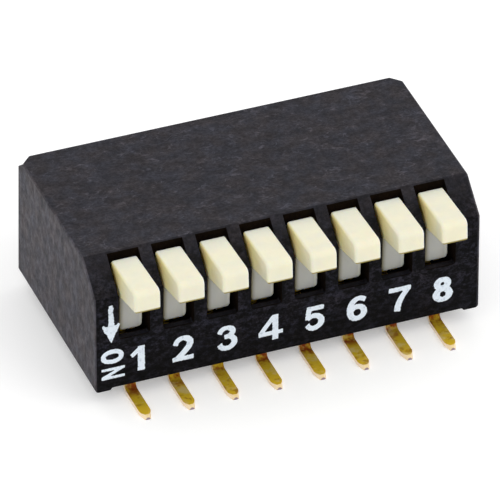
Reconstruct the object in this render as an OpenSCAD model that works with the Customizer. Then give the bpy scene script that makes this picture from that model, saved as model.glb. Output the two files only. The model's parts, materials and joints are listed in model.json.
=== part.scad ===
// Side-actuated DIP switch for surface mounting: eight rockers in one moulded cover.
// Frame: X runs along the row of rockers, the rocker side faces -Y, and Z is up.
// Origin: on the board, under the middle of the cover. The rockers stand in their upper (off) pose.

/* [Positions] */
// Spacing of the switch positions along the row
pitch = 2.54; // [2.5:0.01:2.7]

/* [Cover] */
// Height of the cover above the underside of its end rails
cover_height = 7.62; // [7.5:0.01:8.2]
// Height of the end rails above the board
stand_off = 0.95; // [0.8:0.01:1.2]
// How far the front face leans back between its foot and the bevel
front_lean = 0.25; // [0.1:0.01:0.35]
// Depth of the bevel above the front face
bevel_run = 1.92; // [1.7:0.01:2.1]
// Height of the bevel above the front face
bevel_drop = 1.62; // [1.3:0.01:1.9]
// Thickness of the front wall at its foot, and of the back wall
long_wall = 0.6; // [0.45:0.01:0.9]
// Thickness of the roof over the chambers
roof = 0.8; // [0.6:0.01:1]
// Thickness of the end walls beside the base
end_wall = 0.95; // [0.7:0.01:1.5]
// Width of the rail under each end
rail_width = 0.86; // [0.6:0.01:1]
// Height of the rails below the front and back walls
rail_height = 0.14; // [0.08:0.01:0.2]
// Run of the sloped inner side of each rail
rail_slope = 0.12; // [0.05:0.01:0.2]
// Radius of the lower outer corners, seen from the front
foot_round = 0.2; // [0.1:0.01:0.4]
// Radius of the edges round the roof and above the front face
shell_round = 0.1; // [0.05:0.01:0.15]
// Length of the notch in each upper rear corner, along both edges of the roof
corner_cut = 0.66; // [0.4:0.01:0.9]
// Depth of the notch at the back
corner_drop = 0.55; // [0.3:0.01:0.7]

/* [Slots] */
// Width of a slot and of the chamber behind it
slot_width = 1.8; // [1.76:0.01:1.84]
// Height of the slot's sill above the underside of the end rails
sill_height = 3.18; // [2.9:0.01:3.25]
// Strip of bevel left above each slot
slot_setback = 0.08; // [0.02:0.01:0.15]
// Radius of the slot's lower corners
slot_round = 0.18; // [0.1:0.01:0.3]

/* [Base] */
// Height of the base's underside above the cover's front wall underside
base_recess = 0.11; // [0:0.01:0.2]
// Thickness of the base plate
base_thickness = 1.7; // [1.4:0.01:1.9]
// Thickness of the base outside the legs of each row
leg_skin = 0.105; // [0.08:0.005:0.4]
// Length of the base beyond the outermost trunnion grooves
base_margin = 0.065; // [0.04:0.005:0.4]
// Gap round the base and round each fixed piece in its seat
seat_gap = 0.02; // [0.01:0.005:0.04]

/* [Rocker] */
// Gap between a finger and each side of its slot
side_play = 0.145; // [0.05:0.005:0.2]
// Step from each side of the finger in to the body under it
body_step = 0.11; // [0.05:0.01:0.15]
// Angle that a rocker turns through between off and on
swing = 26; // [20:0.5:27]
// Distance of the pivot behind the inner face of the front wall
pivot_setback = 2.85; // [2.7:0.01:3]
// Height of the pivot above the base plate
pivot_height = 2.4; // [2.3:0.01:2.5]
// Radius of the trunnions
trunnion_r = 0.55; // [0.4:0.01:0.6]
// Gap between the ends of neighbouring trunnions, inside a partition
trunnion_gap = 0.18; // [0.1:0.01:0.3]
// Radial play of the trunnions in their seats
bearing_play = 0.05; // [0.03:0.01:0.08]
// How far the finger's nose stands out from the foot of the front face
finger_reach = 1.8; // [1.2:0.05:2.4]
// Gap between the finger's rear edge and the back of its slot
finger_gap = 0.29; // [0.2:0.01:0.4]
// Drop of the finger's rear edge below the top of the cover
finger_drop = 0.4; // [0.2:0.01:0.6]
// Rise of the finger's top towards the nose, in degrees
finger_rise = 3.2; // [0:0.1:6]
// Depth of the finger where it leaves the rocker's front
finger_root = 1.57; // [1.3:0.01:1.8]
// Height of the nose
nose_height = 1.2; // [0.9:0.01:1.4]
// Lean of the nose's face, in degrees
nose_lean = 5; // [0:0.5:8]
// Radius of the bend between the finger's top and its nose
nose_round = 0.38; // [0.25:0.01:0.5]
// Radius along the finger's four long edges
edge_round = 0.15; // [0.05:0.01:0.18]
// Gap between the rocker's toe and the inner face of the front wall
toe_gap = 0.15; // [0.1:0.01:0.3]
// Radius of the toe's lower edge
toe_round = 0.2; // [0.1:0.01:0.4]
// Radius along both sides of the toe's underside
keel_round = 0.25; // [0.1:0.01:0.3]
// Distance that the tail reaches behind the pivot
tail_reach = 1.75; // [1.5:0.01:2.2]
// Height of the tail
tail_height = 0.8; // [0.6:0.01:1]
// Play left between the resting tail and the base plate
stop_play = 0.05; // [0.03:0.01:0.08]

/* [Contact] */
// Thickness of the contact leaf
leaf_thickness = 0.12; // [0.08:0.01:0.15]
// Width of the contact leaf
leaf_width = 0.9; // [0.8:0.01:1]
// Width of the gap between its two prongs
prong_gap = 0.24; // [0.15:0.01:0.4]
// Height of the crowns that meet the terminals
crown_height = 0.09; // [0.06:0.005:0.12]
// Radius of the crowns
crown_r = 0.35; // [0.25:0.01:0.45]
// Distance between the two crowns
crown_spacing = 0.66; // [0.6:0.01:0.8]
// Distance of the middle of the crowns in front of the pivot, with the rocker on
contact_offset = 0.8; // [0.75:0.01:0.9]
// Play left between the crowns and the terminals, with the rocker on
contact_play = 0.04; // [0.02:0.01:0.08]
// Height of the tang that holds the leaf in the rocker
tang_height = 0.65; // [0.4:0.01:0.9]

/* [Terminals] */
// Distance between the two rows of legs
row_spacing = 10.16; // [10:0.01:10.3]
// Distance over the tips of the two rows of feet
foot_span = 15.9; // [14.5:0.1:16.5]
// Width of a terminal
lead_width = 0.66; // [0.4:0.01:0.8]
// Thickness of a terminal
lead_thickness = 0.25; // [0.2:0.01:0.3]
// Inner radius of the bend above a foot
foot_bend = 0.3; // [0.15:0.01:0.4]
// Length of the taper at the tip of a foot
tip_length = 0.53; // [0.3:0.01:0.8]
// Width of the tip of a foot
tip_width = 0.35; // [0.2:0.01:0.4]
// Gap between the two terminals of a position, under the contact
pad_gap = 0.3; // [0.2:0.01:0.4]

/* [Hidden] */
positions = 8;
$fn = 32;
// How far a cutting shape runs past the face that it opens
over = 1;
// Inner radius of the bend between a leg and its pad
pad_bend = 0.1;
// Inner corner between the finger and the rocker's front
fillet = 0.15;
// How far the arcs along the finger's underside are set below it
arc_drop = 0.02;
// Reach of the hub above and behind the pivot, and the radius of its upper corner
hub_round = 0.8;
// Radius of the tail's corners
heel_round = 0.25;
// Inner radius of the bend between the contact leaf and its tang
leaf_bend = 0.08;
// Length of the leaf beyond the middle of each crown
leaf_end = 0.27;
// Depth of the top of a saddle post below the pivot's axis
post_drop = 0.4;

function position_x(k) = (k - (positions + 1) / 2) * pitch;

groove_half = positions * pitch / 2;
cover_length = 2 * (groove_half + base_margin + end_wall);
cover_depth = row_spacing + lead_thickness + 2 * (leg_skin + 2 * seat_gap + long_wall);
cover_top = stand_off + cover_height;
foot_y = -cover_depth / 2;
back_y = cover_depth / 2;
bevel_z = cover_top - bevel_drop;
bevel_top_y = foot_y + front_lean + bevel_run;
inner_front_y = foot_y + long_wall;
inner_back_y = back_y - long_wall;
wall_z = stand_off + rail_height;
chamber_top = cover_top - roof;
sill_z = stand_off + sill_height;
slot_back_y = bevel_top_y - slot_setback;
partition = pitch - slot_width;
base_z = wall_z + base_recess;
plate_z = base_z + base_thickness;
base_half = cover_length / 2 - end_wall - seat_gap;

pivot = [inner_front_y + pivot_setback, plate_z + pivot_height];
bearing_r = trunnion_r + bearing_play;
finger_width = slot_width - 2 * side_play;
body_width = finger_width - 2 * body_step;
trunnion_length = pitch - trunnion_gap;

contact_y = pivot.x - contact_offset;
leaf_z = plate_z + contact_play + crown_height;
toe_drop = pivot.y - leaf_z - leaf_thickness;
pad_z = plate_z - lead_thickness / 2;

// Front face of the cover at height z
function face_y(z) = foot_y + front_lean * (z - stand_off) / (bevel_z - stand_off);

// ---- Plane geometry ----

function unit(v) = v / norm(v);
function heading(a) = [cos(a), sin(a)];
// Point where the lines with normals m and n, at distances g and h from the origin, meet
function meet(m, g, n, h) = [g * n.y - h * m.y, h * m.x - g * n.x] / cross(m, n);

// Polygon, anticlockwise, with corner i rounded to radii[i] by a true arc
module rounded(points, radii) {
    count = len(points);
    difference() {
        union() {
            polygon(points);
            for (i = [0:count - 1])
                corner(points, radii, i, false);
        }
        for (i = [0:count - 1])
            corner(points, radii, i, true);
    }
}

// The piece between corner i and its arc, drawn only if the corner is convex or not, as asked
module corner(points, radii, i, convex) {
    count = len(points);
    point = points[i];
    before = unit(points[(i + count - 1) % count] - point);
    after = unit(points[(i + 1) % count] - point);
    half = acos(before * after) / 2;
    if (radii[i] > 0 && (cross(before, after) < 0) == convex) {
        run = radii[i] / tan(half);
        centre = point + unit(before + after) * radii[i] / sin(half);
        difference() {
            polygon([
                point + (point - centre) * radii[i],
                point + before * run,
                centre,
                point + after * run
            ]);
            translate(centre) circle(radii[i]);
        }
    }
}

// Edge view of a sheet bent along the corners in path; bends[i] is the inner radius at path[i + 1]
module bent_sheet(path, bends, thickness) {
    last = len(path) - 1;
    arms = [for (i = [0:last - 1]) unit(path[i + 1] - path[i])];
    turns = [for (i = [0:last - 2]) acos(arms[i] * arms[i + 1])];
    setback = [
        0,
        for (i = [0:last - 2]) (bends[i] + thickness / 2) * tan(turns[i] / 2),
        0
    ];
    for (i = [0:last - 1])
        translate(path[i] + arms[i] * setback[i])
            rotate(atan2(arms[i].y, arms[i].x))
                translate([0, -thickness / 2])
                    square([norm(path[i + 1] - path[i]) - setback[i] - setback[i + 1], thickness]);
    for (i = [0:last - 2])
        bend(path[i + 1], arms[i], arms[i + 1], bends[i], thickness);
}

module bend(point, arm_in, arm_out, inner, thickness) {
    middle = inner + thickness / 2;
    half = acos(arm_in * arm_out) / 2;
    centre = point + unit(arm_out - arm_in) * middle / cos(half);
    outer = inner + thickness;
    intersection() {
        translate(centre) difference() {
            circle(outer);
            circle(inner);
        }
        polygon([
            centre,
            centre + (point - arm_in * middle * tan(half) - centre) * outer / middle,
            centre + (point - centre) * outer / inner,
            centre + (point + arm_out * middle * tan(half) - centre) * outer / middle
        ]);
    }
}

// Stands a (Y, Z) outline up and gives it a width along X, about x = 0
module across(width) {
    rotate([90, 0, 90])
        linear_extrude(width, center = true)
            children();
}

// ---- Cover ----

// One moulding: bevelled front, slots, chambers with partitions between, and grooves for the trunnions
module cover() {
    color("#2c2c2f")
        difference() {
            cover_block();
            for (side = [-1, 1])
                rear_corner(side);
            base_cavity();
            for (k = [1:positions])
                translate([position_x(k), 0, 0]) chamber();
            across(2 * groove_half) groove(bearing_r, plate_z);
        }
}

module cover_block() {
    half = cover_length / 2;
    rail_x = half - rail_width;
    intersection() {
        across(cover_length + 2 * over)
            rounded(
                [
                    [face_y(0), 0],
                    [back_y, 0],
                    [back_y, cover_top],
                    [bevel_top_y, cover_top],
                    [face_y(bevel_z), bevel_z]
                ],
                [0, 0, shell_round, shell_round, shell_round]
            );
        rotate([90, 0, 0])
            linear_extrude(cover_depth + 2 * over, center = true)
                rounded(
                    [
                        [-half, stand_off],
                        [-rail_x, stand_off],
                        [rail_slope - rail_x, wall_z],
                        [rail_x - rail_slope, wall_z],
                        [rail_x, stand_off],
                        [half, stand_off],
                        [half, cover_top],
                        [-half, cover_top]
                    ],
                    [foot_round, 0, 0, 0, 0, foot_round, shell_round, shell_round]
                );
    }
}

// Notch in one upper rear corner: an upright wall across it, and a floor that falls to the back
module rear_corner(side) {
    half = cover_length / 2;
    intersection() {
        linear_extrude(cover_top + over)
            polygon([
                [side * (half - corner_cut - over), back_y + over],
                [side * (half + over), back_y + over],
                [side * (half + over), back_y - corner_cut - over]
            ]);
        across(cover_length + 4 * over)
            polygon([
                [back_y - corner_cut, cover_top],
                [back_y + over, cover_top - corner_drop * (1 + over / corner_cut)],
                [back_y + over, cover_top + over],
                [back_y - corner_cut, cover_top + over]
            ]);
    }
}

// Opening that takes the base from below
module base_cavity() {
    half = cover_length / 2 - end_wall;
    translate([-half, inner_front_y, 0])
        cube([2 * half, inner_back_y - inner_front_y, plate_z]);
}

// Space for one rocker, with its slot through the bevel and the front face
module chamber() {
    half = slot_width / 2;
    translate([-half, inner_front_y, plate_z - over])
        cube([slot_width, inner_back_y - inner_front_y, chamber_top - plate_z + over]);
    translate([0, slot_back_y, 0])
        rotate([90, 0, 0])
            linear_extrude(slot_back_y - foot_y + over)
                rounded(
                    [
                        [-half, sill_z],
                        [half, sill_z],
                        [half, cover_top + over],
                        [-half, cover_top + over]
                    ],
                    [slot_round, slot_round, 0, 0]
                );
}

// Round-ended groove about the pivot, open downwards to height z
module groove(radius, z) {
    translate(pivot) circle(radius);
    translate([pivot.x - radius, z - over])
        square([2 * radius, pivot.y - z + over]);
}

// ---- Base ----

// Plate that closes the cover from below, with a saddle post under every trunnion groove
module base() {
    color("#1f1f22")
        difference() {
            union() {
                translate([-base_half, inner_front_y + seat_gap, base_z])
                    cube([2 * base_half, inner_back_y - inner_front_y - 2 * seat_gap, base_thickness]);
                for (wall = [0:positions])
                    saddle_post(wall);
            }
            across(2 * groove_half) translate(pivot) circle(bearing_r);
            for (k = [1:positions])
                translate([position_x(k), 0, 0]) {
                    terminal(-1, seat_gap);
                    terminal(1, seat_gap);
                }
        }
}

// Post in the partition after position number wall; the outermost two stand in the end walls
module saddle_post(wall) {
    middle = position_x(wall) + pitch / 2;
    near = max(middle - partition / 2, -groove_half) + seat_gap;
    far = min(middle + partition / 2, groove_half) - seat_gap;
    width = 2 * (bearing_r - seat_gap);
    translate([near, pivot.x - width / 2, plate_z - base_thickness / 2])
        cube([far - near, width, pivot_height + base_thickness / 2 - post_drop]);
}

// ---- Rocker ----

finger_back = [slot_back_y - finger_gap, cover_top - finger_drop];
top_normal = heading(90 - finger_rise);
nose_normal = heading(180 - nose_lean);
nose_foot_y = foot_y - finger_reach;
// The nose's lower edge hangs nose_height below the line of the finger's top
nose_foot = [
    nose_foot_y,
    finger_back.y + (finger_back.x - nose_foot_y) * tan(finger_rise) - nose_height
];
bend_centre = meet(
    top_normal, top_normal * finger_back - nose_round,
    nose_normal, nose_normal * nose_foot - nose_round
);
// The finger's core ends this far below its outer face, inside the skin
core_depth = (nose_round + edge_round) / 2;
core_corner = meet(
    top_normal, top_normal * finger_back - core_depth,
    nose_normal, nose_normal * nose_foot - core_depth
);
toe_y = inner_front_y + toe_gap;
finger_foot = [toe_y, finger_back.y - finger_root];
tail_z = plate_z + stop_play;

// Height of the toe's underside at depth y: level once the rocker has turned by swing
function toe_z(y) = pivot.y - (toe_drop - (pivot.x - y) * sin(swing)) / cos(swing);

// Turns what is drawn with the rocker on back into the off pose
module off_pose() {
    translate([0, pivot.x, pivot.y])
        rotate([-swing, 0, 0])
            translate([0, -pivot.x, -pivot.y])
                children();
}

// One moulding: finger, narrower body that rocks between toe and tail, and a trunnion on each side
module rocker() {
    color("#f0ead2")
        difference() {
            union() {
                finger();
                body();
                across(trunnion_length) translate(pivot) circle(trunnion_r);
            }
            contact(seat_gap);
        }
}

// Finger with a rounded skin; its underside slopes down to the body, with both edges rounded
module finger() {
    slope = (nose_foot.y - finger_foot.y) / (finger_foot.x - nose_foot.x);
    rear_z = finger_foot.y - (finger_back.x - finger_foot.x) * slope;
    intersection() {
        union() {
            across(finger_width)
                polygon([
                    finger_back - top_normal * core_depth,
                    core_corner,
                    nose_foot - nose_normal * core_depth,
                    finger_foot,
                    [finger_back.x, rear_z]
                ]);
            finger_skin();
        }
        translate([0, nose_foot.x, nose_foot.y])
            rotate([-atan(slope), 0, 0])
                channel(finger_width, edge_round, -arc_drop);
    }
}

module body() {
    tip_y = pivot.x + tail_reach;
    heel = [
        pivot.x - (toe_drop - (pivot.y - tail_z) * cos(swing)) / sin(swing),
        tail_z
    ];
    intersection() {
        across(body_width)
            rounded(
                [
                    finger_back - top_normal * core_depth,
                    core_corner,
                    nose_foot - nose_normal * core_depth,
                    finger_foot,
                    [toe_y, toe_z(toe_y)],
                    heel,
                    [tip_y, tail_z],
                    [tip_y, tail_z + tail_height],
                    [pivot.x + hub_round, tail_z + tail_height],
                    [pivot.x + hub_round, pivot.y + hub_round]
                ],
                [0, 0, 0, fillet, toe_round, 0, heel_round, heel_round, hub_round / 2, hub_round]
            );
        off_pose() channel(body_width, keel_round, leaf_z + leaf_thickness);
    }
}

// Space above height z along Y, with both lower edges rounded
module channel(width, radius, z) {
    half = width / 2;
    top = z + 2 * cover_height;
    rotate([90, 0, 0])
        linear_extrude(2 * cover_depth, center = true)
            rounded(
                [[-half, z], [half, z], [half, top], [-half, top]],
                [radius, radius, 0, 0]
            );
}

// Top, bend and nose of the finger, with both long edges rounded
module finger_skin() {
    top_length = norm(finger_back - bend_centre - top_normal * nose_round);
    nose_length = norm(nose_foot - bend_centre - nose_normal * nose_round);
    rotate([90, 0, 90])
        translate(bend_centre) {
            rotate(90 - finger_rise) {
                rotate([90, 0, 0])
                    linear_extrude(top_length) skin_section();
                rotate_extrude(angle = 90 + finger_rise - nose_lean) skin_section();
            }
            rotate(180 - nose_lean)
                translate([0, nose_length])
                    rotate([90, 0, 0])
                        linear_extrude(nose_length) skin_section();
        }
}

// Section of the skin: depth below the outer face along X, width of the finger along Y
module skin_section() {
    half = finger_width / 2;
    rounded(
        [[0, -half], [nose_round, -half], [nose_round, half], [0, half]],
        [0, edge_round, edge_round, 0]
    );
}

// ---- Contact ----

// Two-pronged leaf under the toe; level, on both pads, once the rocker has turned by swing.
// grow makes it larger all round, as the seat that it is pressed into.
module contact(grow = 0) {
    half_run = crown_spacing / 2 + leaf_end;
    level = leaf_z + leaf_thickness / 2;
    path = [
        [contact_y - half_run - grow, level],
        [contact_y + half_run + leaf_bend, level],
        [contact_y + half_run + leaf_bend, level + tang_height + grow]
    ];
    color("#d2a94e")
        off_pose()
            difference() {
                union() {
                    across(leaf_width + 2 * grow)
                        bent_sheet(path, [leaf_bend - grow], leaf_thickness + 2 * grow);
                    for (side = [-1, 1])
                        across(leaf_width)
                            crown(contact_y + side * crown_spacing / 2);
                }
                if (grow == 0)
                    translate([-prong_gap / 2, contact_y - half_run - over, leaf_z - over])
                        cube([prong_gap, 2 * half_run - prong_gap + over, 2 * over]);
            }
}

// Rounded bulge that a prong rests on
module crown(y) {
    intersection() {
        translate([y, leaf_z - crown_height + crown_r]) circle(crown_r);
        translate([y - crown_r, leaf_z - crown_r])
            square([2 * crown_r, crown_r + leaf_thickness / 2]);
    }
}

// ---- Terminals ----

// Gull-wing terminal of the front (side -1) or rear (side 1) row: foot, leg and pad.
// grow makes it larger all round, as the seat in the base.
module terminal(side, grow = 0) {
    tip_y = side * (foot_span / 2 + grow);
    path = [
        [tip_y, lead_thickness / 2],
        [side * row_spacing / 2, lead_thickness / 2],
        [side * row_spacing / 2, pad_z],
        [contact_y + side * (pad_gap / 2 - grow), pad_z]
    ];
    half = lead_width / 2 + grow;
    taper_y = tip_y - side * tip_length;
    color("#c7a04a")
        intersection() {
            across(2 * half)
                bent_sheet(path, [foot_bend - grow, pad_bend - grow], lead_thickness + 2 * grow);
            translate([0, 0, -over])
                linear_extrude(plate_z + 2 * over)
                    polygon([
                        [-half - over, contact_y],
                        [-half - over, taper_y],
                        [-half, taper_y],
                        [-tip_width / 2, tip_y],
                        [tip_width / 2, tip_y],
                        [half, taper_y],
                        [half + over, taper_y],
                        [half + over, contact_y]
                    ]);
        }
}

// ---- Nodes ----

cover();
base();
for (k = [1:positions])
    translate([position_x(k), 0, 0]) {
        rocker();
        contact();
        terminal(-1);
        terminal(1);
    }
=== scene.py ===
"""Looks of an eight-way side-actuated DIP switch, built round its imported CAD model.

Everything stands in the frame of the CAD: X runs along the row of rockers, the
rockers face -Y and Z is up. Blender works in metres. The sizes held by the
classes are in millimetres, as on a drawing, and MM turns them into metres.
"""

import sys
import json
import logging
import math
from dataclasses import dataclass
from enum import Enum
from functools import partial

import bpy
from mathutils import Matrix, Vector

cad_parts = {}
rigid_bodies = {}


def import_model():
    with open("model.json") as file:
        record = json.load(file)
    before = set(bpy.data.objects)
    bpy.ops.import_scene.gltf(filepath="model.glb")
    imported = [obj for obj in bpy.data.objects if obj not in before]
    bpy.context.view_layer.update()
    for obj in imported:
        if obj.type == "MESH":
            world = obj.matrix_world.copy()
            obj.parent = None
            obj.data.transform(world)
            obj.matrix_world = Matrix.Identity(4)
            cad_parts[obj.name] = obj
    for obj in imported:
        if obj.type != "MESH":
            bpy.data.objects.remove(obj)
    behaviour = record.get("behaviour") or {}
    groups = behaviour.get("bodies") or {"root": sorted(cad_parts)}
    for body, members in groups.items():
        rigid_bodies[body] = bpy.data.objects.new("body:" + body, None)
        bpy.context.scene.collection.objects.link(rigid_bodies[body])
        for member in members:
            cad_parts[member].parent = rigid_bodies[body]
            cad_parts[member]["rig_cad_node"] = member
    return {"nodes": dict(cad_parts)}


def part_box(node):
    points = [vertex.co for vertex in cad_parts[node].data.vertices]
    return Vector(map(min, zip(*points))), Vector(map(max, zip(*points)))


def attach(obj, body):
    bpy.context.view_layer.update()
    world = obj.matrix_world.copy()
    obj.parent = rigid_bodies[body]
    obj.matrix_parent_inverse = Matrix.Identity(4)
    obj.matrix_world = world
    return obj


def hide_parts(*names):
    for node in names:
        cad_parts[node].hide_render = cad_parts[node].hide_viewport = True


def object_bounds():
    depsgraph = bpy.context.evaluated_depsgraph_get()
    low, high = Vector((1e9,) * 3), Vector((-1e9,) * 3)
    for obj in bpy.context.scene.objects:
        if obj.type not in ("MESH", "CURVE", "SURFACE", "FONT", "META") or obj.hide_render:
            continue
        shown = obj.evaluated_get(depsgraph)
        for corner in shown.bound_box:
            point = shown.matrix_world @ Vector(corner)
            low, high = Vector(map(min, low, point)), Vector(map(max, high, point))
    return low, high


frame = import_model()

log = logging.getLogger("dip_switch")

CAD_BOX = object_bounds()
MM = 0.001
POSITIONS = sum(name.startswith("rocker_") for name in frame["nodes"])
PITCH = (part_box("rocker_2")[0].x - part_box("rocker_1")[0].x) / MM
# Distances of the cover's end faces and of the terminals' tips from the middle.
END_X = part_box("cover")[1].x / MM
TIP_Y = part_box("rear_terminal_1")[1].y / MM

Socket = bpy.types.NodeSocket
Pair = tuple[float, float]
Triple = tuple[float, float, float]


# ---- Colours and nodes ----


def linear(code: str) -> tuple[float, float, float, float]:
    """Turns an sRGB hex colour into the linear one that shaders take.

    Args:
        code: The colour, such as "#2c2c2f".

    Returns:
        Red, green, blue and an alpha of 1.
    """
    levels = [int(code[i : i + 2], 16) / 255 for i in (1, 3, 5)]
    red, green, blue = (
        v / 12.92 if v <= 0.04045 else ((v + 0.055) / 1.055) ** 2.4 for v in levels
    )
    return red, green, blue, 1.0


def add_node(
    tree: bpy.types.NodeTree,
    kind: str,
    settings: dict[str, object] | None = None,
    inputs: dict[str | int, object] | None = None,
    output: str = "",
) -> Socket | None:
    """Adds one node to a tree, sets it and links it.

    Args:
        tree: The tree.
        kind: The node's type, such as "ShaderNodeMix".
        settings: The node's own properties.
        inputs: A value, or a socket to link, for each input by its name or number.
        output: The name of the output that is wanted, if not the first.

    Returns:
        That output, or None for a node without outputs.
    """
    node = tree.nodes.new(kind)
    for name, value in (settings or {}).items():
        setattr(node, name, value)
    for key, value in (inputs or {}).items():
        socket = next(
            s for i, s in enumerate(node.inputs) if s.enabled and key in (i, s.name)
        )
        if isinstance(value, Socket):
            tree.links.new(value, socket)
        else:
            socket.default_value = value
    wanted = [s for s in node.outputs if s.enabled and output in ("", s.name)]
    return wanted[0] if wanted else None


# Settings that many nodes share.
SMOOTH = {"interpolation_type": "SMOOTHSTEP"}
COLOURS = {"data_type": "RGBA"}
TINT = {"data_type": "RGBA", "blend_type": "MULTIPLY"}
TIMES = {"operation": "MULTIPLY"}
MINUS = {"operation": "SUBTRACT"}
UNSIGNED = {"operation": "ABSOLUTE"}
LARGER = {"operation": "MAXIMUM"}
OVER = {"operation": "GREATER_THAN"}
UNDER = {"operation": "LESS_THAN"}

# The value round which a noise swings.
NOISE_MIDDLE = 0.5


class Slot(Enum):
    """The record's material slots."""

    COVER = "cover_plastic"
    BASE = "base_plastic"
    ROCKER = "rocker_plastic"
    CONTACT = "contact_plating"
    TERMINAL = "terminal_plating"


@dataclass(frozen=True)
class Clouds:
    """An irregular cloudy pattern that swings between low and high.

    It has scale cycles to the millimetre. Its clouds are stretch times shorter
    along each axis, and turned about Z, in degrees. Detail says how many finer
    layers it has, and roughness how strong they are. Window is the part of the
    noise's own range that is spread from low to high: a narrow one gives the
    clouds harder edges.
    """

    scale: float
    low: float = 0.0
    high: float = 1.0
    stretch: Triple = (1, 1, 1)
    turn: float = 0
    detail: float = 4
    roughness: float = 0.6
    window: Pair = (0.3, 0.7)


@dataclass(frozen=True)
class Fibres:
    """Short curled fibres that lie in a skin.

    They are the lines along which a cloudy noise crosses its middle value. The
    noise has scale cycles to the millimetre and is turned about Z, in degrees. A
    fibre reaches to where the noise is width away from that value.
    """

    scale: float
    turn: float
    width: float = 0.03
    stretch: Triple = (0.45, 1, 1)
    detail: float = 2.5
    curl: float = 0.6

    def patches(self) -> Clouds:
        """The patches in which the fibres are seen."""
        return Clouds(
            self.scale * 0.8, 0.0, 0.6, turn=40 - self.turn, detail=3, window=(0.5, 0.7)
        )


class Recipe:
    """A material in the making: its node tree, its shader and its coordinates.

    Patterns read the piece's own Object coordinates, in millimetres.
    """

    def __init__(self, name: str) -> None:
        """Starts the material.

        Args:
            name: The material's name.
        """
        self.material = bpy.data.materials.new(name)
        self.material.use_nodes = True
        tree = self.material.node_tree
        tree.nodes.clear()
        self.links = tree.links
        self.shader = tree.nodes.new("ShaderNodeBsdfPrincipled")
        self.add = partial(add_node, tree)
        self.add("ShaderNodeOutputMaterial", inputs={"Surface": self.shader.outputs[0]})
        own = self.add("ShaderNodeTexCoord", output="Object")
        self.place = self.add(
            "ShaderNodeMapping", inputs={"Vector": own, "Scale": (1 / MM,) * 3}
        )
        self.normal = self.add("ShaderNodeTexCoord", output="Normal")

    def pattern(self, clouds: Clouds) -> Socket:
        """Draws a cloudy pattern.

        Args:
            clouds: Its scale and shape.

        Returns:
            The pattern.
        """
        place = self.add(
            "ShaderNodeMapping",
            inputs={
                "Vector": self.place,
                "Rotation": (0, 0, math.radians(clouds.turn)),
                "Scale": clouds.stretch,
            },
        )
        noise = self.add(
            "ShaderNodeTexNoise",
            inputs={
                "Vector": place,
                "Scale": clouds.scale,
                "Detail": clouds.detail,
                "Roughness": clouds.roughness,
            },
        )
        trough, crest = clouds.window
        return self.add(
            "ShaderNodeMapRange",
            SMOOTH,
            {
                "Value": noise,
                "From Min": trough,
                "From Max": crest,
                "To Min": clouds.low,
                "To Max": clouds.high,
            },
        )

    def lines(self, fibres: Fibres) -> Socket:
        """Draws fibres.

        Args:
            fibres: Their scale and shape.

        Returns:
            1 on a fibre and 0 elsewhere, fading between its patches.
        """
        place = self.add(
            "ShaderNodeMapping",
            inputs={
                "Vector": self.place,
                "Rotation": (0, 0, math.radians(fibres.turn)),
                "Scale": fibres.stretch,
            },
        )
        noise = self.add(
            "ShaderNodeTexNoise",
            inputs={
                "Vector": place,
                "Scale": fibres.scale,
                "Detail": fibres.detail,
                "Distortion": fibres.curl,
            },
        )
        away = self.add("ShaderNodeMath", MINUS, {0: noise, 1: NOISE_MIDDLE})
        away = self.add("ShaderNodeMath", UNSIGNED, {0: away})
        line = self.add(
            "ShaderNodeMapRange",
            inputs={"Value": away, "From Min": fibres.width, "From Max": 0.0},
        )
        patches = self.pattern(fibres.patches())
        return self.add("ShaderNodeMath", TIMES, {0: line, 1: patches})

    def paint(self, ground: Socket | str, layers: list[tuple[Socket, str]]) -> Socket:
        """Lays colours over one another.

        Args:
            ground: The lowest colour.
            layers: The others from below, each with a mask that is 1 where it covers.

        Returns:
            The colour that is seen.
        """
        colour = linear(ground) if isinstance(ground, str) else ground
        for mask, shade in layers:
            colour = self.add(
                "ShaderNodeMix",
                COLOURS,
                {"Factor": mask, "A": colour, "B": linear(shade)},
            )
        return colour

    def relief(self, grit: Clouds, depth: float, edge: float = 0.0) -> None:
        """Gives the surface a fine relief, and softens the edges of the shape.

        Args:
            grit: The pattern that is raised, from 0 to 1.
            depth: Height of its highest places, in millimetres.
            edge: Radius that the light sees on sharp edges, in millimetres.
        """
        inputs = {"Height": self.pattern(grit), "Distance": depth * MM}
        if edge:
            inputs["Normal"] = self.add(
                "ShaderNodeBevel", {"samples": 6}, {"Radius": edge * MM}
            )
        self.shade(Normal=self.add("ShaderNodeBump", inputs=inputs))

    def shade(self, **values: object) -> None:
        """Sets or links the shader's sockets, named with _ for a space."""
        for name, value in values.items():
            socket = self.shader.inputs[name.replace("_", " ")]
            if isinstance(value, Socket):
                self.links.new(value, socket)
            else:
                socket.default_value = value


def dress(piece: bpy.types.Object, material: bpy.types.Material, slot: Slot) -> None:
    """Gives a piece its material.

    Args:
        piece: The piece, or a CAD node's object.
        material: What it is made of.
        slot: The record's material slot that it belongs to. It is not used.
    """
    if piece.material_slots:
        for held in piece.material_slots:
            held.material = material
    else:
        piece.data.materials.append(material)


# ---- Finishes ----


@dataclass(frozen=True)
class SlotShape:
    """Places round the slots that the cover's colours follow, in millimetres.

    A slot's floor is a ledge. A fine groove parts its front edge from the front
    face and is painted as a dark line, a painted shadow, and the rocker's own gap
    behind it is painted shade. Their edges are blurred a little.
    """

    back_y: float = -4.5
    floor_z: float = 4.5
    groove_y: float = -5.74
    ledge_y: float = -5.42
    blur: float = 0.03


@dataclass(frozen=True)
class RockerShape:
    """Places on a rocker that its colours follow, in millimetres.

    The finger's underside rises to the front: where z + under_slope * y is
    under_z.
    """

    front_y: float = -5.2
    rear_y: float = -3.7
    top_z: float = 8.35
    wall_top: float = 6.63
    under_slope: float = 0.223
    under_z: float = 5.47


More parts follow.
